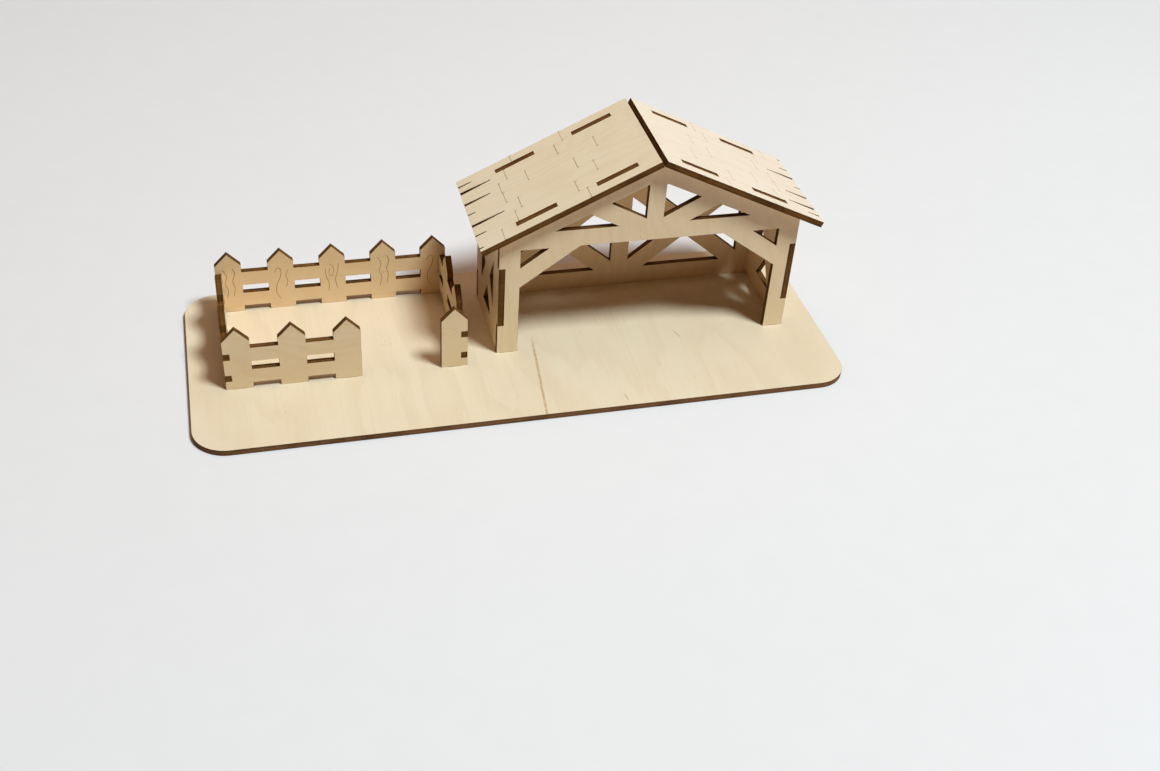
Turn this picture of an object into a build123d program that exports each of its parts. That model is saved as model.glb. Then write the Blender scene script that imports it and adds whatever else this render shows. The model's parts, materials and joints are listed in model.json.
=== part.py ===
from build123d import *
from math import atan2, cos, degrees, hypot, radians, sin, tan
import os

# A timber-framed stable and its fenced paddock on one base board.
# Every piece is cut from the same plywood sheet and joined with tabs, slots and notches.
# Millimetres, +Z up. The origin is the middle of the board's underside, and the portal faces -Y.

# Stock and fits
sheet = 3.0  # plywood thickness of every piece
fit_gap = 0.1  # clearance on each side of a tab in its slot or notch
foot_tab = 6.0  # width of the tabs that peg upright pieces into the board

# Stable
stable_width = 150.0  # over the gables
stable_depth = 52.2  # over both gables
shoulder_height = 65.3  # from the board up to the roof at the gables' outer edges
roof_pitch = 25.7  # degrees
wall_tab_share = 0.5  # share of the shoulder height that the wall tabs take

# Gable timbers
post_width = 10.3
portal_height = 58.7  # from the board up to the tie beam
tie_depth = 9.1
rafter_depth = 9.3
king_post = 8.4
web_width = 9.0
web_pitch = 28.3  # degrees
web_heel = 3.0  # from the tie beam up to the web's top edge at the king post
knee_width = 9.0
knee_pitch = 36.0  # degrees
knee_drop = 21.0  # from the tie beam down to the knee's lower edge at the post

# Cross-braced back and side walls
brace_width = 9.4
back_sill = 10.2
back_lap = 1.2  # from the sill's top down to where the braces' middle lines meet the posts
back_post = 9.4  # between the two braced bays of the back gable
wall_post = 9.3
wall_beam = 10.3  # sill and top plate of the side walls

# Roof panels
eave_overhang = 9.8  # past the gables' outer edges, along the slope
verge_overhang = 5.9  # past each gable
ridge_gap = 0.2  # between the lower edges of the two panels
tab_setback = 0.3  # from the roof's face down to the top of a gable tab
roof_tab_shares = [(1 / 8, 3 / 8), (5 / 8, 7 / 8)]  # start and end of each tab along the gable's slope
split_length = 17.3  # longest split in the plank ends at the eave
split_mouth = 2.0  # widest mouth of a split
split_tip = 0.6  # width of the inner end of a split
split_shares = [  # one split per plank, front to back: place across the plank, length, mouth
    (0.30, 0.13, 0.40),
    (0.46, 0.33, 0.46),
    (0.41, 1.00, 0.92),
    (0.51, 0.24, 0.42),
    (0.52, 0.81, 0.82),
    (0.69, 0.95, 1.00),
    (0.37, 0.43, 0.56),
]

# Paddock fence
picket_width = 12.7
picket_pitch = 25.4
picket_height = 33.8
picket_point = 6.7  # height of the pointed top
rail_height = 7.7
lower_rail = 3.1  # from the board up to the rail
upper_rail = 15.4
rail_tab = 3.2  # height of the tabs on the side rails
rail_tab_lift = 1.7  # from a side rail's underside up to its tab
paddock_reach = 7.0  # of the front and back fences past the gables
paddock_gap = 15.9  # from the paddock to the stable
back_pickets = 5
front_pickets = 3  # the place beside them is the gateway, and the gate post stands at the last place
side_pickets = 2

# Base board
front_apron = 50.6  # from the stable's front to the board's front edge
back_margin = 20.3
left_margin = 16.9
right_margin = 18.2
board_corner = 16.0

# Places that follow from the sizes
paddock_length = (back_pickets - 1) * picket_pitch + picket_width
paddock_depth = stable_depth + 2 * paddock_reach
board_length = left_margin + paddock_length + paddock_gap + stable_width + right_margin
board_depth = front_apron + stable_depth + back_margin
stable_left = board_length / 2 - right_margin - stable_width
stable_right = stable_left + stable_width
stable_middle = (stable_left + stable_right) / 2
stable_front = front_apron - board_depth / 2
stable_back = stable_front + stable_depth
depth_middle = (stable_front + stable_back) / 2
paddock_right = stable_left - paddock_gap
paddock_left = paddock_right - paddock_length
paddock_front = depth_middle - paddock_depth / 2
paddock_back = depth_middle + paddock_depth / 2

pitch = radians(roof_pitch)
half_width = stable_width / 2
slope_length = half_width / cos(pitch)
ridge_height = shoulder_height + half_width * tan(pitch)
tie_top = portal_height + tie_depth
attic_peak = ridge_height - rafter_depth / cos(pitch)
attic_half = (attic_peak - tie_top) / tan(pitch)
portal_half = half_width - post_width
knee_foot = portal_height - knee_drop
wall_tab = shoulder_height * wall_tab_share
roof_tab_height = sheet - tab_setback
gable_feet = [-half_width + post_width / 2, half_width - post_width / 2]

picket_places = [picket_width / 2 + index * picket_pitch for index in range(back_pickets)]
front_places = picket_places[:front_pickets]
gate_place = picket_places[-1]
side_places = [(index - (side_pickets - 1) / 2) * picket_pitch for index in range(side_pickets)]
rail_tab_places = [rail + rail_tab_lift + rail_tab / 2 for rail in (lower_rail, upper_rail)]

slot_length = foot_tab + 2 * fit_gap
slot_width = sheet + 2 * fit_gap

os.makedirs("parts", exist_ok=True)


def upright_plane(left, front):
    # A sheet standing across the depth: sketch X runs along +X and sketch Y is the height above the board.
    return Plane(origin=(left, front + sheet, sheet), x_dir=(1, 0, 0), z_dir=(0, -1, 0))


def side_plane(left):
    # A sheet standing along the depth: sketch X runs along +Y from the middle of the stable's depth.
    return Plane(origin=(left, depth_middle, sheet), x_dir=(0, 1, 0), z_dir=(1, 0, 0))


def braced_bay(width, height):
    # The four triangles that two crossed braces leave open between posts and beams.
    turn = degrees(atan2(height, width))
    with BuildSketch() as bay:
        Rectangle(width, height)
        for angle in (turn, -turn):
            Rectangle(hypot(width, height) + brace_width, brace_width, rotation=angle, mode=Mode.SUBTRACT)
    return bay.sketch


def picket_run(places, rail_start, rail_end):
    # Pickets on two rails, pegged at the first and last picket.
    with BuildSketch() as run:
        with Locations(*[(place, 0) for place in places]):
            add(picket.sketch)
        with Locations((rail_start, lower_rail), (rail_start, upper_rail)):
            Rectangle(rail_end - rail_start, rail_height, align=(Align.MIN, Align.MIN))
        with Locations((places[0], 0), (places[-1], 0)):
            Rectangle(foot_tab, 2 * sheet)
    return run.sketch


# Outline that both gables share, with its roof tabs, wall notches and feet
with BuildSketch() as gable_outline:
    with BuildLine():
        Polyline(
            (-half_width, 0),
            (half_width, 0),
            (half_width, shoulder_height),
            (0, ridge_height),
            (-half_width, shoulder_height),
            close=True,
        )
    make_face()
    for start, end in roof_tab_shares:
        along = (start + end) / 2 * slope_length
        tab_x = half_width - along * cos(pitch)
        tab_z = shoulder_height + along * sin(pitch)
        left_seat = Location((-tab_x, tab_z, 0), (0, 0, roof_pitch))
        right_seat = Location((tab_x, tab_z, 0), (0, 0, -roof_pitch))
        with Locations(left_seat, right_seat):
            Rectangle((end - start) * slope_length, 2 * roof_tab_height)
    with Locations((-half_width, shoulder_height / 2), (half_width, shoulder_height / 2)):
        Rectangle(2 * (sheet + fit_gap), wall_tab + 2 * fit_gap, mode=Mode.SUBTRACT)
    with Locations(*[(foot, 0) for foot in gable_feet]):
        Rectangle(foot_tab, 2 * sheet)

# Openings of the roof truss, between the rafters, the tie beam, the king post and the two webs
with BuildSketch() as attic:
    with BuildLine():
        Polyline((-attic_half, tie_top), (attic_half, tie_top), (0, attic_peak), close=True)
    make_face()
    with Locations((0, tie_top)):
        Rectangle(king_post, 2 * (attic_peak - tie_top), mode=Mode.SUBTRACT)
    for side in (-1, 1):
        with Locations((side * king_post / 2, tie_top + web_heel)):
            Rectangle(
                2 * attic_half,
                web_width,
                rotation=side * web_pitch,
                align=(Align.CENTER, Align.MAX),
                mode=Mode.SUBTRACT,
            )

# Front portal, with a knee brace across each upper corner
knee_length = hypot(portal_half, portal_height)
with BuildSketch() as portal:
    Rectangle(2 * portal_half, portal_height, align=(Align.CENTER, Align.MIN))
    with Locations((-portal_half, knee_foot)):
        Rectangle(
            knee_length,
            knee_width,
            rotation=knee_pitch,
            align=(Align.MIN, Align.MIN),
            mode=Mode.SUBTRACT,
        )
    with Locations((portal_half, knee_foot)):
        Rectangle(
            knee_length,
            knee_width,
            rotation=-knee_pitch,
            align=(Align.MAX, Align.MIN),
            mode=Mode.SUBTRACT,
        )

# Front gable
with BuildPart() as front_gable:
    with BuildSketch(upright_plane(stable_middle, stable_front)):
        add(gable_outline.sketch)
        add(portal.sketch, mode=Mode.SUBTRACT)
        add(attic.sketch, mode=Mode.SUBTRACT)
    extrude(amount=sheet)
front_gable.part.label = "front_gable"
export_step(front_gable.part, "parts/front_gable.step")

# Back gable: a sill, a middle post and a braced bay on each side of it
brace_foot = back_sill - back_lap
back_bay_width = portal_half - back_post / 2
back_bay = braced_bay(back_bay_width, portal_height - brace_foot)
back_bay_x = (portal_half + back_post / 2) / 2
back_bay_z = (portal_height + brace_foot) / 2
with BuildPart() as back_gable:
    with BuildSketch(upright_plane(stable_middle, stable_back - sheet)):
        add(gable_outline.sketch)
        with Locations((-back_bay_x, back_bay_z), (back_bay_x, back_bay_z)):
            add(back_bay, mode=Mode.SUBTRACT)
        Rectangle(2 * portal_half, back_sill, align=(Align.CENTER, Align.MIN))
        add(attic.sketch, mode=Mode.SUBTRACT)
    extrude(amount=sheet)
back_gable.part.label = "back_gable"
export_step(back_gable.part, "parts/back_gable.step")

# Side walls: one braced bay each, tabbed into the outer edges of both gables
wall_length = stable_depth - 2 * sheet
wall_height = shoulder_height - fit_gap
wall_bay = braced_bay(wall_length - 2 * wall_post, wall_height - 2 * wall_beam)
for wall_name, wall_left in (("left_wall", stable_left), ("right_wall", stable_right - sheet)):
    with BuildPart() as side_wall:
        with BuildSketch(side_plane(wall_left)):
            Rectangle(wall_length, wall_height, align=(Align.CENTER, Align.MIN))
            with Locations((0, shoulder_height / 2)):
                Rectangle(stable_depth, wall_tab)
            with Locations((0, wall_height / 2)):
                add(wall_bay, mode=Mode.SUBTRACT)
        extrude(amount=sheet)
    side_wall.part.label = wall_name
    export_step(side_wall.part, f"parts/{wall_name}.step")

# Roof panel seen square to its slope: sketch X runs up from the gables' shoulders, sketch Y along the ridge
panel_length = eave_overhang + slope_length - ridge_gap / 2
panel_depth = stable_depth + 2 * verge_overhang
plank_width = panel_depth / len(split_shares)
with BuildSketch() as roof_outline:
    with Locations((-eave_overhang, -verge_overhang)):
        Rectangle(panel_length, panel_depth, align=(Align.MIN, Align.MIN))
    for start, end in roof_tab_shares:
        slot_x = (start + end) / 2 * slope_length
        with Locations((slot_x, sheet / 2), (slot_x, stable_depth - sheet / 2)):
            Rectangle((end - start) * slope_length + 2 * fit_gap, slot_width, mode=Mode.SUBTRACT)
    for plank, (place, length, mouth) in enumerate(split_shares):
        split_y = (plank + place) * plank_width - verge_overhang
        split_end = length * split_length - eave_overhang
        with BuildLine():
            Polyline(
                (-eave_overhang, split_y - mouth * split_mouth / 2),
                (split_end, split_y - split_tip / 2),
                (split_end, split_y + split_tip / 2),
                (-eave_overhang, split_y + mouth * split_mouth / 2),
                close=True,
            )
        make_face(mode=Mode.SUBTRACT)

# Roof panels: the same piece twice, the right one turned end for end
left_slope = Plane(
    origin=(stable_left, stable_front, sheet + shoulder_height),
    x_dir=(cos(pitch), 0, sin(pitch)),
    z_dir=(-sin(pitch), 0, cos(pitch)),
)
right_slope = Plane(
    origin=(stable_right, stable_back, sheet + shoulder_height),
    x_dir=(-cos(pitch), 0, sin(pitch)),
    z_dir=(sin(pitch), 0, cos(pitch)),
)
for panel_name, slope in (("left_roof_panel", left_slope), ("right_roof_panel", right_slope)):
    with BuildPart() as roof_panel:
        with BuildSketch(slope):
            add(roof_outline.sketch)
        extrude(amount=sheet)
    roof_panel.part.label = panel_name
    export_step(roof_panel.part, f"parts/{panel_name}.step")

# One picket with its pointed top
with BuildSketch() as picket:
    with BuildLine():
        Polyline(
            (-picket_width / 2, 0),
            (picket_width / 2, 0),
            (picket_width / 2, picket_height - picket_point),
            (0, picket_height),
            (-picket_width / 2, picket_height - picket_point),
            close=True,
        )
    make_face()

# Notches in the corner pickets for the side rails' tabs
with BuildSketch() as rail_notches:
    with Locations(*[(0, place) for place in rail_tab_places]):
        Rectangle(2 * (sheet + fit_gap), rail_tab + 2 * fit_gap)

# Back fence
back_run = picket_run(picket_places, picket_places[0], picket_places[-1])
with BuildPart() as back_fence:
    with BuildSketch(upright_plane(paddock_left, paddock_back - sheet)):
        add(back_run)
        with Locations((0, 0), (paddock_length, 0)):
            add(rail_notches.sketch, mode=Mode.SUBTRACT)
    extrude(amount=sheet)
back_fence.part.label = "back_fence"
export_step(back_fence.part, "parts/back_fence.step")

# Front fence, left of the gateway
front_run = picket_run(front_places, front_places[0], front_places[-1])
with BuildPart() as front_fence:
    with BuildSketch(upright_plane(paddock_left, paddock_front)):
        add(front_run)
        add(rail_notches.sketch, mode=Mode.SUBTRACT)
    extrude(amount=sheet)
front_fence.part.label = "front_fence"
export_step(front_fence.part, "parts/front_fence.step")

# Gate post, right of the gateway
with BuildPart() as gate_post:
    with BuildSketch(upright_plane(paddock_left, paddock_front)):
        with Locations((gate_place, 0)):
            add(picket.sketch)
            Rectangle(foot_tab, 2 * sheet)
        with Locations((paddock_length, 0)):
            add(rail_notches.sketch, mode=Mode.SUBTRACT)
    extrude(amount=sheet)
gate_post.part.label = "gate_post"
export_step(gate_post.part, "parts/gate_post.step")

# Side fences: rails that end in tabs, between the front and back fences
side_reach = paddock_depth / 2 - sheet
side_run = picket_run(side_places, -side_reach, side_reach)
for fence_name, fence_left in (("left_fence", paddock_left), ("right_fence", paddock_right - sheet)):
    with BuildPart() as side_fence:
        with BuildSketch(side_plane(fence_left)):
            add(side_run)
            with Locations(*[(0, place) for place in rail_tab_places]):
                Rectangle(paddock_depth, rail_tab)
        extrude(amount=sheet)
    side_fence.part.label = fence_name
    export_step(side_fence.part, f"parts/{fence_name}.step")

# Base board, with a slot for every foot
gable_slots = [
    (stable_middle + foot, middle)
    for foot in gable_feet
    for middle in (stable_front + sheet / 2, stable_back - sheet / 2)
]
front_slots = [
    (paddock_left + place, paddock_front + sheet / 2)
    for place in (front_places[0], front_places[-1], gate_place)
]
back_slots = [
    (paddock_left + place, paddock_back - sheet / 2)
    for place in (picket_places[0], picket_places[-1])
]
side_slots = [
    (middle, depth_middle + place)
    for middle in (paddock_left + sheet / 2, paddock_right - sheet / 2)
    for place in (side_places[0], side_places[-1])
]
with BuildPart() as base_board:
    with BuildSketch():
        RectangleRounded(board_length, board_depth, board_corner)
        with Locations(*gable_slots, *front_slots, *back_slots):
            Rectangle(slot_length, slot_width, mode=Mode.SUBTRACT)
        with Locations(*side_slots):
            Rectangle(slot_width, slot_length, mode=Mode.SUBTRACT)
    extrude(amount=sheet)
base_board.part.label = "base_board"
export_step(base_board.part, "parts/base_board.step")
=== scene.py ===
import bmesh
import bpy
import json
from math import cos, radians, sin, tau
from mathutils import Matrix, Vector


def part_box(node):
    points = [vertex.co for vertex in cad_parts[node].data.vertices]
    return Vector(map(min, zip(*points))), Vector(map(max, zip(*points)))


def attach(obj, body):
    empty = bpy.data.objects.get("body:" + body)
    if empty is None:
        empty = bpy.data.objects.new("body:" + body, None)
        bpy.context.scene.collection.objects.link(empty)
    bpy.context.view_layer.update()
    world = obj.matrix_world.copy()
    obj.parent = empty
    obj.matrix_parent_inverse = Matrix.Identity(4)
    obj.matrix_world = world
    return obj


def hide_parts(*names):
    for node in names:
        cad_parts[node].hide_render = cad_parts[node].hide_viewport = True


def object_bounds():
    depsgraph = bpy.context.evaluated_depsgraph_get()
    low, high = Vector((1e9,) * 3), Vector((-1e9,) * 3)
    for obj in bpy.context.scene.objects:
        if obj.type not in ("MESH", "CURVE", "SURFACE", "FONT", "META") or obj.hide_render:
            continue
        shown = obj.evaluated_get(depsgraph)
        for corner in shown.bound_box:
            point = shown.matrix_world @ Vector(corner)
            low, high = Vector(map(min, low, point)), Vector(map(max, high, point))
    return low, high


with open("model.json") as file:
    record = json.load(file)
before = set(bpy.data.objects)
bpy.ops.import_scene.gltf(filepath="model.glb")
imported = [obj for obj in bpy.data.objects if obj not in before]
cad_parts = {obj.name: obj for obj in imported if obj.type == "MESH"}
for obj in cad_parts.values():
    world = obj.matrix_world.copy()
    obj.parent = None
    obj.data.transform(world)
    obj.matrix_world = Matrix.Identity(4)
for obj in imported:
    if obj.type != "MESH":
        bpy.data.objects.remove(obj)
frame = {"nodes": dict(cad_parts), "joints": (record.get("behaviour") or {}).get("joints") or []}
cadLow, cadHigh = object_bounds()
mm = 0.001  # sizes below are millimetres times this
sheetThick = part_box("base_board")[1].z  # every piece is cut from the same sheet


class Sock:
    # A shader socket that Python maths works on: every operator adds a Math node

    def __init__(self, tree, socket=None):
        self.tree = tree
        self.socket = socket

    def node(self, kind, settings=None, inputs=None, out=0):
        made = self.tree.nodes.new(kind)
        for key, value in (settings or {}).items():
            setattr(made, key, value)
        for key, value in (inputs or {}).items():
            if isinstance(value, Sock):
                self.tree.links.new(value.socket, made.inputs[key])
            else:
                made.inputs[key].default_value = value
        return Sock(self.tree, made.outputs[out]) if len(made.outputs) else None

    def math(self, operation, first, second=0.0):
        return self.node("ShaderNodeMath", {"operation": operation}, {0: first, 1: second})

    def __add__(self, other):
        return self.math("ADD", self, other)

    def __radd__(self, other):
        return self.math("ADD", other, self)

    def __sub__(self, other):
        return self.math("SUBTRACT", self, other)

    def __rsub__(self, other):
        return self.math("SUBTRACT", other, self)

    def __mul__(self, other):
        return self.math("MULTIPLY", self, other)

    def __rmul__(self, other):
        return self.math("MULTIPLY", other, self)

    def __abs__(self):
        return self.math("ABSOLUTE", self)

    def fraction(self):
        return self.math("FRACT", self)

    def ease(self, low, high):
        return self.node(
            "ShaderNodeMapRange",
            {"interpolation_type": "SMOOTHSTEP"},
            {"Value": self, "From Min": low, "From Max": high},
        )

    def near(self, centre, reach):
        return 1 - abs(self - centre).ease(0.0, reach)

    def blend(self, first, second):
        return self.node("ShaderNodeMix", {"data_type": "RGBA"}, {0: self, 6: first, 7: second}, out=2)

    def stretch(self, scale):
        return self.node("ShaderNodeVectorMath", {"operation": "MULTIPLY"}, {0: self, 1: scale})

    def shift(self, offset):
        return self.node("ShaderNodeVectorMath", {"operation": "ADD"}, {0: self, 1: offset})

    def along(self, axis):
        return self.node("ShaderNodeSeparateXYZ", {}, {"Vector": self}, out=axis)

    def layer(self, look):
        # A noise by its settings, eased into a mask where they give a range
        sockets = {
            "Vector": self.stretch(look["scale"]),
            "Scale": 1.0,
            "Detail": look.get("detail", 2.0),
            "Roughness": look.get("roughness", 0.5),
        }
        field = self.node("ShaderNodeTexNoise", {"noise_dimensions": "3D"}, sockets)
        return field.ease(*look["range"]) if "range" in look else field

    def specks(self, look):
        # Small spots, one in each cell of a loose grid
        sockets = {"Vector": self.stretch(look["scale"]), "Scale": 1.0}
        return 1 - self.node("ShaderNodeTexVoronoi", {"feature": "F1"}, sockets).ease(*look["range"])


def newMaterial(name):
    material = bpy.data.materials.new(name)
    material.use_nodes = True
    material.node_tree.nodes.clear()
    return material, Sock(material.node_tree)


def closeMaterial(paint, colour, roughness, height, look, more=None):
    bump = {"Height": height, "Strength": look["bump"], "Distance": look["bumpDepth"]}
    sockets = {
        "Base Color": colour,
        "Roughness": roughness,
        "Normal": paint.node("ShaderNodeBump", {}, bump),
        "Specular IOR Level": look["specular"],
    }
    shader = paint.node("ShaderNodeBsdfPrincipled", {}, {**sockets, **(more or {})})
    paint.node("ShaderNodeOutputMaterial", {}, {"Surface": shader})


pieceShift = {"along": 900, "acrossShare": 0.37, "throughShare": 0.11}  # how far apart pieces lie in the wood


def sheetPlaces(paint):
    # Millimetres on a sheet, X along the grain and Z through it,
    # and the same shifted so that no two pieces match
    place = paint.node("ShaderNodeTexCoord", out="Object").stretch((1 / mm, 1 / mm, 1 / mm))
    draw = paint.node("ShaderNodeObjectInfo", out="Random") * pieceShift["along"]
    shift = {"X": draw, "Y": draw * pieceShift["acrossShare"], "Z": draw * pieceShift["throughShare"]}
    return place, place.shift(paint.node("ShaderNodeCombineXYZ", {}, shift))


birchLook = {  # noise scales are turns in a millimetre: along the grain, across it and through the sheet
    "pale": (0.835, 0.715, 0.52, 1),
    "warm": (0.79, 0.65, 0.445, 1),
    "rosy": (0.81, 0.645, 0.455, 1),
    "late": (0.70, 0.535, 0.335, 1),
    "poreTone": (0.52, 0.36, 0.20, 1),
    "fleckTone": (0.34, 0.19, 0.08, 1),
    "sweep": {"scale": (0.009, 0.026, 0.02), "roughness": 0.4},
    "wobble": {"scale": (0.03, 0.4, 0.3)},
    "cloud": {"scale": (0.011, 0.03, 0.02), "detail": 3.0, "range": (0.38, 0.68)},
    "curl": {"scale": (0.10, 0.016, 0.02), "range": (0.40, 0.72)},  # faint bands across the grain
    "streak": {"scale": (0.012, 0.55, 0.3), "detail": 3.0, "roughness": 0.6, "range": (0.45, 0.8)},
    "pore": {"scale": (0.30, 8.5, 8.5), "roughness": 0.6, "range": (0.58, 0.76)},
    "fleck": {"scale": (0.22, 1.7, 1.0), "range": (0.10, 0.26)},
    "fleckPatch": {"scale": (0.045, 0.11, 0.1), "range": (0.62, 0.72)},
    "rings": 15.0,
    "wobbleShare": 0.5,
    "ringRise": (0.25, 0.9),  # each ring darkens slowly and ends at once
    "ringEnd": (0.9, 1.0),
    "streakShare": 0.45,
    "curlShare": 0.2,
    "poreShare": 0.28,
    "fleckShare": 0.55,
    "roughness": 0.55,
    "poreRoughness": 0.2,
    "curlGloss": 0.06,
    "specular": 0.1,
    "bump": 0.22,
    "bumpDepth": 0.04 * mm,
}


def paintBirch(name, sheet, seams=()):
    look = {**birchLook, **sheet}
    for shade in ("pale", "warm", "rosy", "late"):
        look[shade] = (*[part * share for part, share in zip(birchLook[shade], look["tint"])], 1)
    material, paint = newMaterial(name)
    place, grain = sheetPlaces(paint)
    sweep = grain.layer(look["sweep"])
    wobble = grain.layer(look["wobble"])
    ring = (sweep * look["rings"] + wobble * look["wobbleShare"]).fraction()
    late = ring.ease(*look["ringRise"]) * (1 - ring.ease(*look["ringEnd"]))
    cloud = grain.layer(look["cloud"])
    curl = grain.layer(look["curl"])
    streak = grain.layer(look["streak"])
    pore = grain.layer(look["pore"])
    fleck = grain.specks(look["fleck"]) * grain.layer(look["fleckPatch"])
    warm = streak * look["streakShare"] + curl * look["curlShare"]
    colour = warm.blend(look["pale"], look["warm"])
    colour = (cloud * look["cloudShare"]).blend(colour, look["rosy"])
    colour = (late * look["ringShare"]).blend(colour, look["late"])
    colour = (pore * look["poreShare"]).blend(colour, look["poreTone"])
    colour = (fleck * look["fleckShare"]).blend(colour, look["fleckTone"])
    for seam in seams:
        colour = seamMask(place, seam).blend(colour, seam["colour"])
    roughness = look["roughness"] + pore * look["poreRoughness"] - curl * look["curlGloss"]
    closeMaterial(paint, colour, roughness, 0.0 - pore - fleck, look)
    return material


seamLook = {
    "wander": {"scale": (0.13, 0.02, 0.0)},
    "fray": {"scale": (0.5, 0.3, 0.0), "range": (0.2, 0.6)},
    "frayShare": 0.6,
    "core": 0.2,  # share of a seam's width at full strength
}


def seamMask(place, seam):
    # A thin line between two points of the sheet that wanders a little and frays
    along = place.along("X")
    across = place.along("Y")
    startAlong, startAcross = seam["start"]
    endAlong, endAcross = seam["end"]
    fade = seam["fade"]
    slope = (endAcross - startAcross) / (endAlong - startAlong)
    wander = (place.layer(seamLook["wander"]) - 0.5) * seam["wander"]
    offset = abs(across - (along - startAlong) * slope - startAcross + wander)
    line = 1 - offset.ease(seam["width"] * seamLook["core"], seam["width"])
    ends = along.ease(startAlong, startAlong + fade) * (1 - along.ease(endAlong - fade, endAlong))
    fray = place.layer(seamLook["fray"]) * seamLook["frayShare"] + (1 - seamLook["frayShare"])
    return line * ends * fray * seam["strength"]


scorchLook = {
    "char": (0.032, 0.012, 0.003, 1),
    "brown": (0.125, 0.049, 0.011, 1),
    "toast": (0.235, 0.114, 0.032, 1),
    "beam": {"scale": (2.4, 2.4, 0.06), "detail": 3.0, "roughness": 0.65},  # fine lines through the thickness
    "beamRange": (0.35, 0.75),
    "smoke": {"scale": (0.09, 0.09, 0.2), "detail": 3.0, "range": (0.42, 0.72)},
    "glueLines": (0.29, 0.71),  # shares of the sheet's thickness, as are the reaches
    "glueReach": 0.045,
    "rimReach": 0.10,
    "coreFade": 0.03,
    "beamShare": 0.5,
    "coreShare": 0.22,
    "smokeShare": 0.55,
    "glueShare": 0.6,
    "rimShare": 0.5,
    "roughness": 0.7,
    "beamRoughness": 0.22,
    "specular": 0.05,
    "bump": 0.6,
    "bumpDepth": 0.09 * mm,
}
boardScorch = {  # the board's edge is cut a little cleaner
    **scorchLook,
    "char": (0.058, 0.027, 0.012, 1),
    "brown": (0.19, 0.085, 0.034, 1),
    "toast": (0.30, 0.165, 0.075, 1),
}


def paintScorch(name, look):
    material, paint = newMaterial(name)
    place, grain = sheetPlaces(paint)
    height = place.along("Z") * (mm / sheetThick)
    lowGlue, highGlue = look["glueLines"]
    fade = look["coreFade"]
    beam = grain.layer(look["beam"])
    smoke = grain.layer(look["smoke"])
    core = height.ease(lowGlue, lowGlue + fade) * (1 - height.ease(highGlue - fade, highGlue))
    glue = height.near(lowGlue, look["glueReach"]) + height.near(highGlue, look["glueReach"])
    rim = height.near(0.0, look["rimReach"]) + height.near(1.0, look["rimReach"])
    toast = beam.ease(*look["beamRange"]) * look["beamShare"] + core * look["coreShare"]
    colour = toast.blend(look["brown"], look["toast"])
    colour = (smoke * look["smokeShare"]).blend(colour, look["char"])
    colour = (glue * look["glueShare"] + rim * look["rimShare"]).blend(colour, look["char"])
    closeMaterial(paint, colour, look["roughness"] + beam * look["beamRoughness"], beam - glue, look)
    return material


engraveLook = {
    "burn": {  # whole lines come out paler or darker
        "scale": (0.085, 0.085, 0.3),
        "detail": 3.0,
        "roughness": 0.55,
        "range": (0.32, 0.68),
    },
    "grit": {"scale": (5.0, 5.0, 5.0)},
    "burnShare": 0.75,
    "gritShare": 0.2,
    "roughness": 0.75,
    "gritRoughness": 0.18,
    "specular": 0.05,
    "bump": 0.3,
    "bumpDepth": 0.03 * mm,
}
engraveTones = {
    "strokeLine": {"burnt": (0.27, 0.148, 0.042, 1), "toast": (0.50, 0.31, 0.092, 1)},
    "seamLine": {"burnt": (0.60, 0.47, 0.30, 1), "toast": (0.73, 0.60, 0.41, 1)},
    "jointLine": {"burnt": (0.40, 0.28, 0.155, 1), "toast": (0.61, 0.48, 0.32, 1)},
    "jointEnd": {"burnt": (0.13, 0.08, 0.04, 1), "toast": (0.30, 0.21, 0.125, 1)},
    "paleJointLine": {"burnt": (0.56, 0.43, 0.27, 1), "toast": (0.71, 0.57, 0.385, 1)},
    "paleJointEnd": {"burnt": (0.34, 0.235, 0.13, 1), "toast": (0.53, 0.40, 0.24, 1)},
    "charredCut": {"burnt": (0.035, 0.014, 0.004, 1), "toast": (0.11, 0.05, 0.015, 1)},
    "paleCut": {"burnt": (0.09, 0.045, 0.018, 1), "toast": (0.20, 0.115, 0.05, 1)},
}


def paintEngraving(name, tone):
    look = engraveLook
    material, paint = newMaterial(name)
    grain = sheetPlaces(paint)[1]
    burn = grain.layer(look["burn"])
    grit = grain.layer(look["grit"])
    toast = burn * look["burnShare"] + grit * look["gritShare"]
    colour = toast.blend(tone["burnt"], tone["toast"])
    closeMaterial(paint, colour, look["roughness"] + grit * look["gritRoughness"], grit, look)
    return material


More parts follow.
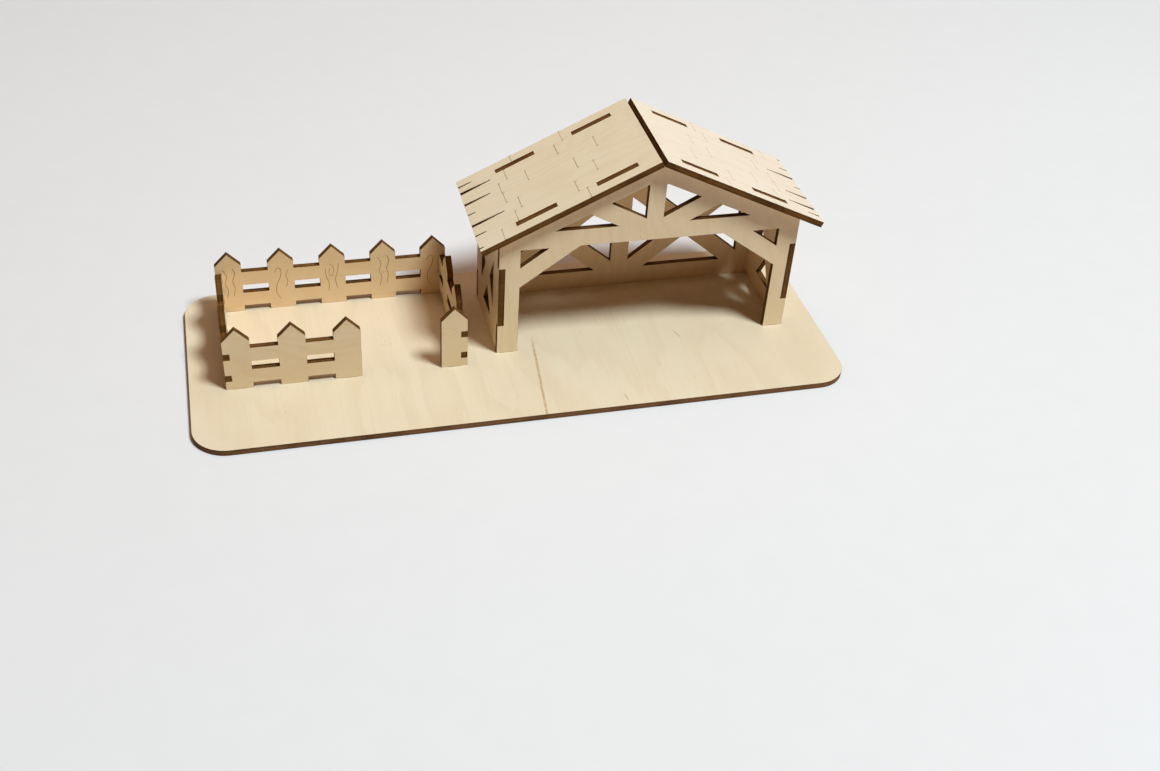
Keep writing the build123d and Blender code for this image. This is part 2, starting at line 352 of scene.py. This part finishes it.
sheetBirch = {
    "board": {"tint": (0.94, 0.94, 0.97), "cloudShare": 0.5, "ringShare": 0.2, "rings": 6.0},
    # painted light: the copy for the front gable and left wall is warmer and brighter than the board's,
    # standing in for warm fill light on their upright faces
    "upright": {"tint": (1.058, 0.995, 0.915), "cloudShare": 0.38, "ringShare": 0.19},
    "fence": {"tint": (1.01, 0.938, 0.838), "cloudShare": 0.38, "ringShare": 0.2},
    # painted shade: a warmer, darker copy of the birch for the back gable, the right wall and the back fence,
    # whose faces in view stand in the warm shade inside the stable and the paddock
    "warm": {"tint": (1.026, 0.893, 0.74), "cloudShare": 0.38, "ringShare": 0.2},
}
boardSeams = [  # a filled crack and two short flecks, in millimetres along the grain and across it
    {
        "start": (-78.0, -1.7),
        "end": (1.5, -9.6),
        "width": 0.95,
        "wander": 0.8,
        "fade": 14.0,
        "strength": 0.7,
        "colour": (0.46, 0.28, 0.125, 1),
    },
    {
        "start": (-59.2, -44.3),
        "end": (-52.0, -43.2),
        "width": 0.55,
        "wander": 0.0,
        "fade": 2.5,
        "strength": 0.75,
        "colour": (0.40, 0.30, 0.18, 1),
    },
    {
        "start": (-14.2, -84.2),
        "end": (-6.2, -81.4),
        "width": 0.6,
        "wander": 0.0,
        "fade": 3.0,
        "strength": 0.7,
        "colour": (0.42, 0.31, 0.18, 1),
    },
]
boardBirch = paintBirch("birchBoard", sheetBirch["board"], boardSeams)
uprightBirch = paintBirch("birchUpright", sheetBirch["upright"])
fenceBirch = paintBirch("birchFence", sheetBirch["fence"])
# the back gable, right wall and back fence carry this painted shade
paintedShadeBirch = paintBirch("birchWarm", sheetBirch["warm"])
scorchedEdge = paintScorch("scorchedEdge", scorchLook)
boardEdge = paintScorch("boardEdge", boardScorch)
engraved = {name: paintEngraving(name, tone) for name, tone in engraveTones.items()}
print("materials ready")


def sheetMatrix(grain, face):
    # The sheet's own frame: X with the grain, Z out of its show face
    grain = Vector(grain).normalized()
    face = Vector(face).normalized()
    return Matrix((grain, face.cross(grain), face)).transposed().to_4x4()


def highCorner(points):
    return Vector([max(point[axis] for point in points) for axis in range(3)])


def lowCorner(points):
    return Vector([min(point[axis] for point in points) for axis in range(3)])


cutterLook = {
    "strokeRise": 0.6,  # how far a cutter stands above the face, as a share of the cut's depth
    "pitRise": 0.5,
    "pitSides": 10,
}


def strokeSolid(cutter, points, width, depth, top, tone):
    # A V-shaped cut that follows points on the show face
    rise = depth * cutterLook["strokeRise"]
    reach = width / 2 * (1 + rise / depth)
    rings = []
    for index, point in enumerate(points):
        heading = points[min(index + 1, len(points) - 1)] - points[max(index - 1, 0)]
        heading.normalize()
        side = Vector((-heading.y, heading.x)) * reach
        corners = [
            (point.x + side.x, point.y + side.y, top + rise),
            (point.x, point.y, top - depth),
            (point.x - side.x, point.y - side.y, top + rise),
        ]
        rings.append([cutter.verts.new(corner) for corner in corners])
    sides = [rings[0], list(reversed(rings[-1]))]
    for first, second in zip(rings, rings[1:]):
        for corner in range(3):
            following = (corner + 1) % 3
            sides.append((first[following], first[corner], second[corner], second[following]))
    for side in sides:
        cutter.faces.new(side).material_index = tone


def pitSolid(cutter, centre, radius, depth, top, tone):
    # A small round burn where the beam starts or stops
    rise = depth * cutterLook["pitRise"]
    reach = radius * (1 + rise / depth)
    turns = [tau * step / cutterLook["pitSides"] for step in range(cutterLook["pitSides"])]
    rim = [
        cutter.verts.new((centre.x + reach * cos(turn), centre.y + reach * sin(turn), top + rise))
        for turn in turns
    ]
    tip = cutter.verts.new((centre.x, centre.y, top - depth))
    cutter.faces.new(rim).material_index = tone
    for first, second in zip(rim, rim[1:] + rim[:1]):
        cutter.faces.new((second, first, tip)).material_index = tone


def smoothLine(points, steps=7):
    # A rounded line through given points
    ends = [points[0] * 2 - points[1], *points, points[-1] * 2 - points[-2]]
    line = []
    for a, b, c, d in zip(ends, ends[1:], ends[2:], ends[3:]):
        for step in range(steps):
            t = step / steps
            bend = (c - a) * t + (2 * a - 5 * b + 4 * c - d) * t ** 2 + (3 * b - a - 3 * c + d) * t ** 3
            line.append(b + bend / 2)
    line.append(points[-1])
    return line


sheetLook = {
    "edgeBreak": 0.07 * mm,  # wear on the sharp cut edges
    "weld": 0.002 * mm,
    "faceTilt": 0.99,  # a face whose normal is this close to the sheet's is veneer
    "flat": radians(0.4),
    "corner": radians(60),
    "smooth": radians(32),
}
plainSheet = {"edge": scorchedEdge, "tones": (), "engrave": None, "splits": None, "fixedOrigin": False}
edgeTone, firstTone = 1, 2  # material places: the veneer, the cut edges, then a piece's own tones


def inSplits(verts, splits):
    # True where cut edges lie in the split plank ends
    return splits is not None and splits[0] < max(vert.co.x for vert in verts) < splits[1]


def isRim(edge):
    # True where a cut edge meets a face of the sheet
    level = abs(edge.verts[1].co.z - edge.verts[0].co.z) < sheetLook["weld"]
    return level and edge.calc_face_angle(0) > sheetLook["corner"]


def breakEdges(mesh, splits):
    # The solid's triangles become whole faces, and sharp cut edges wear off, apart from those in the splits
    bmesh.ops.remove_doubles(mesh, verts=mesh.verts, dist=sheetLook["weld"])
    bmesh.ops.dissolve_limit(mesh, angle_limit=sheetLook["flat"], verts=mesh.verts, edges=mesh.edges)
    bmesh.ops.recalc_face_normals(mesh, faces=mesh.faces)
    worn = [edge for edge in mesh.edges if isRim(edge) and not inSplits(edge.verts, splits)]
    wear = sheetLook["edgeBreak"]
    bmesh.ops.bevel(mesh, geom=worn, offset=wear, segments=1, affect="EDGES", clamp_overlap=True)


def cutSheet(node, body, sheet):
    look = {**plainSheet, **sheet}
    place = sheetMatrix(look["grain"], look["face"])
    solid = frame["nodes"][node].data
    made = bpy.data.meshes.new(look["name"])
    sides = [list(side.vertices) for side in solid.polygons]
    made.from_pydata([vert.co for vert in solid.vertices], [], sides)
    mesh = bmesh.new()
    mesh.from_mesh(made)
    mesh.transform(place.inverted())
    if not look["fixedOrigin"]:
        low = lowCorner([vert.co for vert in mesh.verts])
        mesh.transform(Matrix.Translation(-low))
        place = place @ Matrix.Translation(low)
    breakEdges(mesh, look["splits"])
    lastTone = edgeTone + len(look["tones"])
    for polygon in mesh.faces:
        veneered = abs(polygon.normal.z) > sheetLook["faceTilt"]
        cutTone = lastTone if inSplits(polygon.verts, look["splits"]) else edgeTone
        polygon.material_index = 0 if veneered else cutTone
        polygon.smooth = not veneered
    mesh.to_mesh(made)
    mesh.free()
    for material in (look["veneer"], look["edge"], *look["tones"]):
        made.materials.append(material)
    piece = bpy.data.objects.new(look["name"], made)
    bpy.context.scene.collection.objects.link(piece)
    if look["engrave"]:
        carve(piece, look["engrave"])
    piece.data.set_sharp_from_angle(angle=sheetLook["smooth"])
    piece.matrix_world = place
    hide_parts(node)
    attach(piece, body)


def carve(piece, engrave):
    cutter = bmesh.new()
    engrave(cutter, highCorner([vert.co for vert in piece.data.vertices]))
    bmesh.ops.recalc_face_normals(cutter, faces=cutter.faces)
    cuts = bpy.data.meshes.new(piece.name + "Cuts")
    cutter.to_mesh(cuts)
    cutter.free()
    for material in piece.data.materials:
        cuts.materials.append(material)
    tool = bpy.data.objects.new(piece.name + "Cuts", cuts)
    bpy.context.scene.collection.objects.link(tool)
    boolean = piece.modifiers.new("engrave", "BOOLEAN")
    boolean.object = tool
    boolean.operation = "DIFFERENCE"
    boolean.solver = "EXACT"
    boolean.use_self = True
    bpy.context.view_layer.update()
    plain = piece.data
    carved = bpy.data.meshes.new_from_object(piece.evaluated_get(bpy.context.evaluated_depsgraph_get()))
    piece.modifiers.clear()
    piece.data = carved
    bpy.data.objects.remove(tool)
    bpy.data.meshes.remove(cuts)
    bpy.data.meshes.remove(plain)


# Board, gables and side walls: plain faces, with the grain upright, and front to back on the board
up = (0, 0, 1)
framing = {
    "base_board": {
        "name": "baseBoard",
        "grain": (0, 1, 0),
        "face": up,
        "veneer": boardBirch,
        "edge": boardEdge,
        "fixedOrigin": True,  # its seams are placed from the part's own origin
    },
    "front_gable": {"name": "frontGable", "grain": up, "face": (0, -1, 0), "veneer": uprightBirch},
    "back_gable": {"name": "backGable", "grain": up, "face": (0, 1, 0), "veneer": paintedShadeBirch},
    "left_wall": {"name": "leftWall", "grain": up, "face": (-1, 0, 0), "veneer": uprightBirch},
    "right_wall": {"name": "rightWall", "grain": up, "face": (1, 0, 0), "veneer": paintedShadeBirch},
}
for node, sheet in framing.items():
    cutSheet(node, "stable", sheet)
print("board, gables and walls cut")


roofLook = {
    "planks": 7,
    "seamWidth": 0.16 * mm,
    "seamDepth": 0.05 * mm,
    "seamOverrun": 0.5 * mm,
    "jointWidth": 0.38 * mm,
    "jointDepth": 0.12 * mm,
    "jointEnds": (0.03, 0.97),  # shares of a plank's width
    "tick": 1.2 * mm,  # length of the burn along the seam at a joint's ends
    "tickWidth": 0.26 * mm,
    "pit": 0.36 * mm,
    "pitDepth": 0.24 * mm,
    "splits": (0.2 * mm, 18.0 * mm),  # reach of the split plank ends from the eave
    "joints": [  # plank ends, in millimetres up the slope from the eave, one row for each plank
        (12.8, 57.0),
        (21.8, 52.9),
        (25.6, 65.1),
        (19.6, 57.2),
        (19.3, 33.5, 70.1),
        (24.0, 51.4),
        (29.3, 56.2),
    ],
    "splitRows": [  # the split in each plank: share of its width, length and mouth in millimetres
        (0.30, 2.2, 0.8),
        (0.46, 5.7, 0.9),
        (0.41, 17.3, 1.8),
        (0.51, 4.2, 0.8),
        (0.52, 14.0, 1.6),
        (0.69, 16.4, 2.0),
        (0.37, 7.4, 1.1),
    ],
    "smoke": {"wander": 0.0, "colour": (0.38, 0.225, 0.095, 1)},
    "smokeWidth": 0.95,  # half of a smoke line's width, as a share of the split's mouth
    "left": {"tint": (1.005, 1.005, 1.02), "cloudShare": 0.38, "ringShare": 0.17},
    "leftSmoke": 1.0,
    # painted sheen: the right slope's copy is paler and bluer, standing in for the whitish sheen of the key
    # light on that slope
    "right": {"tint": (0.972, 0.983, 1.125), "cloudShare": 0.34, "ringShare": 0.14},
    "rightSmoke": 0.55,
}


def splitSmoke(strength):
    # Soft brown lines under the splits, from the eave up the slope
    low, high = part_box("left_roof_panel")
    plank = (high.y - low.y) / mm / roofLook["planks"]
    lines = []
    for row, (share, length, mouth) in enumerate(roofLook["splitRows"]):
        across = (row + share) * plank
        lines.append({
            **roofLook["smoke"],
            "start": (-length, across),
            "end": (length, across),
            "fade": length,
            "width": mouth * roofLook["smokeWidth"],
            "strength": strength,
        })
    return lines


def engravePlanks(cutter, size):
    plank = size.y / roofLook["planks"]
    overrun = roofLook["seamOverrun"]
    seamTone, jointTone, endTone = range(firstTone, firstTone + 3)
    for seam in range(1, roofLook["planks"]):
        ends = [Vector((-overrun, seam * plank)), Vector((size.x + overrun, seam * plank))]
        strokeSolid(cutter, ends, roofLook["seamWidth"], roofLook["seamDepth"], size.z, seamTone)
    for row, places in enumerate(roofLook["joints"]):
        for place in places:
            ends = [Vector((place * mm, (row + share) * plank)) for share in roofLook["jointEnds"]]
            strokeSolid(cutter, ends, roofLook["jointWidth"], roofLook["jointDepth"], size.z, jointTone)
            for end in ends:
                tick = [end, end + Vector((roofLook["tick"], 0))]
                strokeSolid(cutter, tick, roofLook["tickWidth"], roofLook["jointDepth"], size.z, jointTone)
                pitSolid(cutter, end, roofLook["pit"], roofLook["pitDepth"], size.z, endTone)


roofs = {
    "left_roof": {
        "node": "left_roof_panel",
        "name": "leftRoofPanel",
        "veneer": paintBirch("birchRoof", roofLook["left"], splitSmoke(roofLook["leftSmoke"])),
        "tones": [engraved[name] for name in ("seamLine", "jointLine", "jointEnd", "charredCut")],
    },
    "right_roof": {
        "node": "right_roof_panel",
        "name": "rightRoofPanel",
        # the right slope's veneer carries a painted sheen
        "veneer": paintBirch("birchPaleRoof", roofLook["right"], splitSmoke(roofLook["rightSmoke"])),
        "tones": [engraved[name] for name in ("seamLine", "paleJointLine", "paleJointEnd", "paleCut")],
    },
}
for joint in frame["joints"]:
    square = Vector(joint["axis"])  # square to the slope
    upSlope = Vector((-square.x / abs(square.x) * square.z, 0, abs(square.x)))
    panel = roofs[joint["child"]]
    slope = {"grain": upSlope, "face": square, "engrave": engravePlanks, "splits": roofLook["splits"]}
    cutSheet(panel["node"], joint["child"], {**panel, **slope})
print("roof panels cut and engraved")


picketLook = {
    "width": 12.7 * mm,
    "pitch": 25.4 * mm,
    "height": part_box("back_fence")[1].z - sheetThick,
    "lineWidth": 0.27 * mm,
    "lineDepth": 0.15 * mm,
    "motifs": [  # wood-grain lines as shares of a picket's width and height
        [
            [(0.30, 0.74), (0.42, 0.62), (0.34, 0.50), (0.44, 0.38), (0.36, 0.24)],
            [(0.66, 0.76), (0.74, 0.66), (0.64, 0.54), (0.70, 0.42), (0.64, 0.28)],
        ],
        [
            [
                (0.24, 0.62), (0.36, 0.70), (0.50, 0.66), (0.46, 0.54),
                (0.32, 0.42), (0.28, 0.28), (0.42, 0.16),
            ],
            [(0.76, 0.66), (0.68, 0.56), (0.74, 0.46), (0.66, 0.36)],
        ],
        [
            [(0.40, 0.70), (0.52, 0.64), (0.54, 0.54), (0.44, 0.48), (0.36, 0.54), (0.40, 0.62)],
            [(0.22, 0.62), (0.24, 0.48), (0.34, 0.36), (0.32, 0.22)],
            [(0.74, 0.70), (0.70, 0.56), (0.60, 0.42), (0.66, 0.26)],
        ],
    ],
}


def picketEngraver(places, firstMotif):
    # Lines on each picket, whose middle lines are given from the fence's low end
    def engrave(cutter, size):
        for index, place in enumerate(places):
            for stroke in picketLook["motifs"][(firstMotif + index) % len(picketLook["motifs"])]:
                points = [
                    Vector((place + (u - 0.5) * picketLook["width"], sheetThick + v * picketLook["height"]))
                    for u, v in stroke
                ]
                line = smoothLine(points)
                strokeSolid(cutter, line, picketLook["lineWidth"], picketLook["lineDepth"], size.z, firstTone)
    return engrave


# Fences: the engraved side faces into the paddock
sideLow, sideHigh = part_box("left_fence")
endPicket = picketLook["width"] / 2
sidePicket = (sideHigh.y - sideLow.y - picketLook["pitch"]) / 2
fences = {
    "back_fence": {"name": "backFence", "inward": (0, -1, 0), "first": endPicket, "count": 5, "motif": 0},
    "front_fence": {"name": "frontFence", "inward": (0, 1, 0), "first": endPicket, "count": 3, "motif": 1},
    "gate_post": {"name": "gatePost", "inward": (0, 1, 0), "first": endPicket, "count": 1, "motif": 2},
    "left_fence": {"name": "leftFence", "inward": (1, 0, 0), "first": sidePicket, "count": 2, "motif": 2},
    "right_fence": {"name": "rightFence", "inward": (-1, 0, 0), "first": sidePicket, "count": 2, "motif": 1},
}
for node, fence in fences.items():
    inward = Vector(fence["inward"])
    places = [fence["first"] + index * picketLook["pitch"] for index in range(fence["count"])]
    cutSheet(node, "stable", {
        "name": fence["name"],
        "grain": Vector(up).cross(inward),
        "face": inward,
        "veneer": paintedShadeBirch if node == "back_fence" else fenceBirch,
        "tones": [engraved["strokeLine"]],
        "engrave": picketEngraver(places, fence["motif"]),
    })
print("fences cut and engraved")


studio = {
    "floorHalf": 12.0,
    "floorFade": (0.55, 1.25),  # where the lit floor gives way to the pale backdrop, from the middle
    "backdrop": (0.80, 0.80, 0.808, 1),
    "floorPale": (0.797, 0.79, 0.82, 1),
    "floorMottle": (0.772, 0.765, 0.795, 1),
    "floorBounce": (0.62, 0.55, 0.56, 1),  # the colour that the floor throws back on the pieces
    "paper": {
        "grain": {"scale": (60.0, 60.0, 60.0)},
        "roughness": 0.85,
        "grainRoughness": 0.1,
        "specular": 0.0,
        "bump": 0.05,
        "bumpDepth": 0.05 * mm,
    },
    "room": {"colour": (1.0, 0.476, 0.19, 1), "strength": 0.05},
    "key": {"place": (1.232, -1.18, 3.136), "size": 0.912, "power": 135.2, "colour": (0.842, 0.954, 0.970)},
    "overhead": {"place": (0.0, 0.30, 1.22), "size": 1.4, "power": 4.55, "colour": (1.0, 0.68, 0.475)},
}


def seenRays(paint):
    # 1 where the camera sees a surface, straight or in a reflection, and 0 where it only lights others
    seen = paint.node("ShaderNodeLightPath", out="Is Camera Ray")
    for ray in ("Is Glossy Ray", "Is Transmission Ray"):
        seen = seen.math("MAXIMUM", seen, paint.node("ShaderNodeLightPath", out=ray))
    return seen


def layFloor():
    look = studio["paper"]
    dark = (0, 0, 0, 1)
    material, paint = newMaterial("paleFloor")
    place = paint.node("ShaderNodeTexCoord", out="Object")
    grain = place.layer(look["grain"])
    distance = paint.node("ShaderNodeVectorMath", {"operation": "LENGTH"}, {0: place}, out="Value")
    far = distance.ease(*studio["floorFade"])
    seen = seenRays(paint)
    pale = grain.blend(studio["floorPale"], studio["floorMottle"])
    colour = far.blend(seen.blend(studio["floorBounce"], pale), dark)
    glow = {"Emission Color": (far * seen).blend(dark, studio["backdrop"]), "Emission Strength": 1.0}
    closeMaterial(paint, colour, look["roughness"] + grain * look["grainRoughness"], grain, look, glow)
    half = studio["floorHalf"]
    corners = [(-half, -half, 0), (half, -half, 0), (half, half, 0), (-half, half, 0)]
    mesh = bpy.data.meshes.new("floor")
    mesh.from_pydata(corners, [], [(0, 1, 2, 3)])
    mesh.materials.append(material)
    floor = bpy.data.objects.new("floor", mesh)
    floor.location.z = cadLow.z
    bpy.context.scene.collection.objects.link(floor)


def hangLamp(name):
    look = studio[name]
    light = bpy.data.lights.new(name, "AREA")
    light.shape = "DISK"
    light.size = look["size"]
    light.energy = look["power"]
    light.color = look["colour"]
    lamp = bpy.data.objects.new(name, light)
    lamp.location = look["place"]
    aim = Vector(look["place"]).to_track_quat("Z", "Y")  # lamps shine along their -Z
    lamp.rotation_euler = aim.to_euler()
    bpy.context.scene.collection.objects.link(lamp)


def lightRoom():
    # Dim warm light from all round, in front of a pale backdrop that lights nothing
    world = bpy.data.worlds.new("room")
    world.use_nodes = True
    world.node_tree.nodes.clear()
    room = Sock(world.node_tree)
    seen = seenRays(room)
    glow = {"Color": studio["room"]["colour"], "Strength": studio["room"]["strength"]}
    dim = room.node("ShaderNodeBackground", {}, glow)
    pale = room.node("ShaderNodeBackground", {}, {"Color": studio["backdrop"], "Strength": 1.0})
    surface = room.node("ShaderNodeMixShader", {}, {0: seen, 1: dim, 2: pale})
    room.node("ShaderNodeOutputWorld", {}, {"Surface": surface})
    bpy.context.scene.world = world


cameraLook = {
    "place": (-129.8 * mm, -549.3 * mm, 418.4 * mm),
    "yaw": radians(16.88),
    "pitch": radians(38.14),
    "roll": radians(4.34),
    "lens": 43.38,
    "sensor": 36.0,
    "nearest": 10.0 * mm,
}


def aimCamera():
    yaw = cameraLook["yaw"]
    pitch = cameraLook["pitch"]
    roll = cameraLook["roll"]
    forward = Vector((sin(yaw) * cos(pitch), cos(yaw) * cos(pitch), -sin(pitch)))
    level = Vector((cos(yaw), -sin(yaw), 0))
    right = level * cos(roll) + level.cross(forward) * sin(roll)
    camera = bpy.data.cameras.new("photoCamera")
    camera.lens = cameraLook["lens"]
    camera.sensor_width = cameraLook["sensor"]
    camera.clip_start = cameraLook["nearest"]
    stand = bpy.data.objects.new("photoCamera", camera)
    turn = Matrix((right, right.cross(forward), -forward)).transposed().to_4x4()
    stand.matrix_world = Matrix.Translation(cameraLook["place"]) @ turn
    bpy.context.scene.collection.objects.link(stand)
    bpy.context.scene.camera = stand


layFloor()
hangLamp("key")
hangLamp("overhead")
lightRoom()
aimCamera()
bpy.context.scene.view_settings.view_transform = "Standard"
print("floor, lamps and camera set")
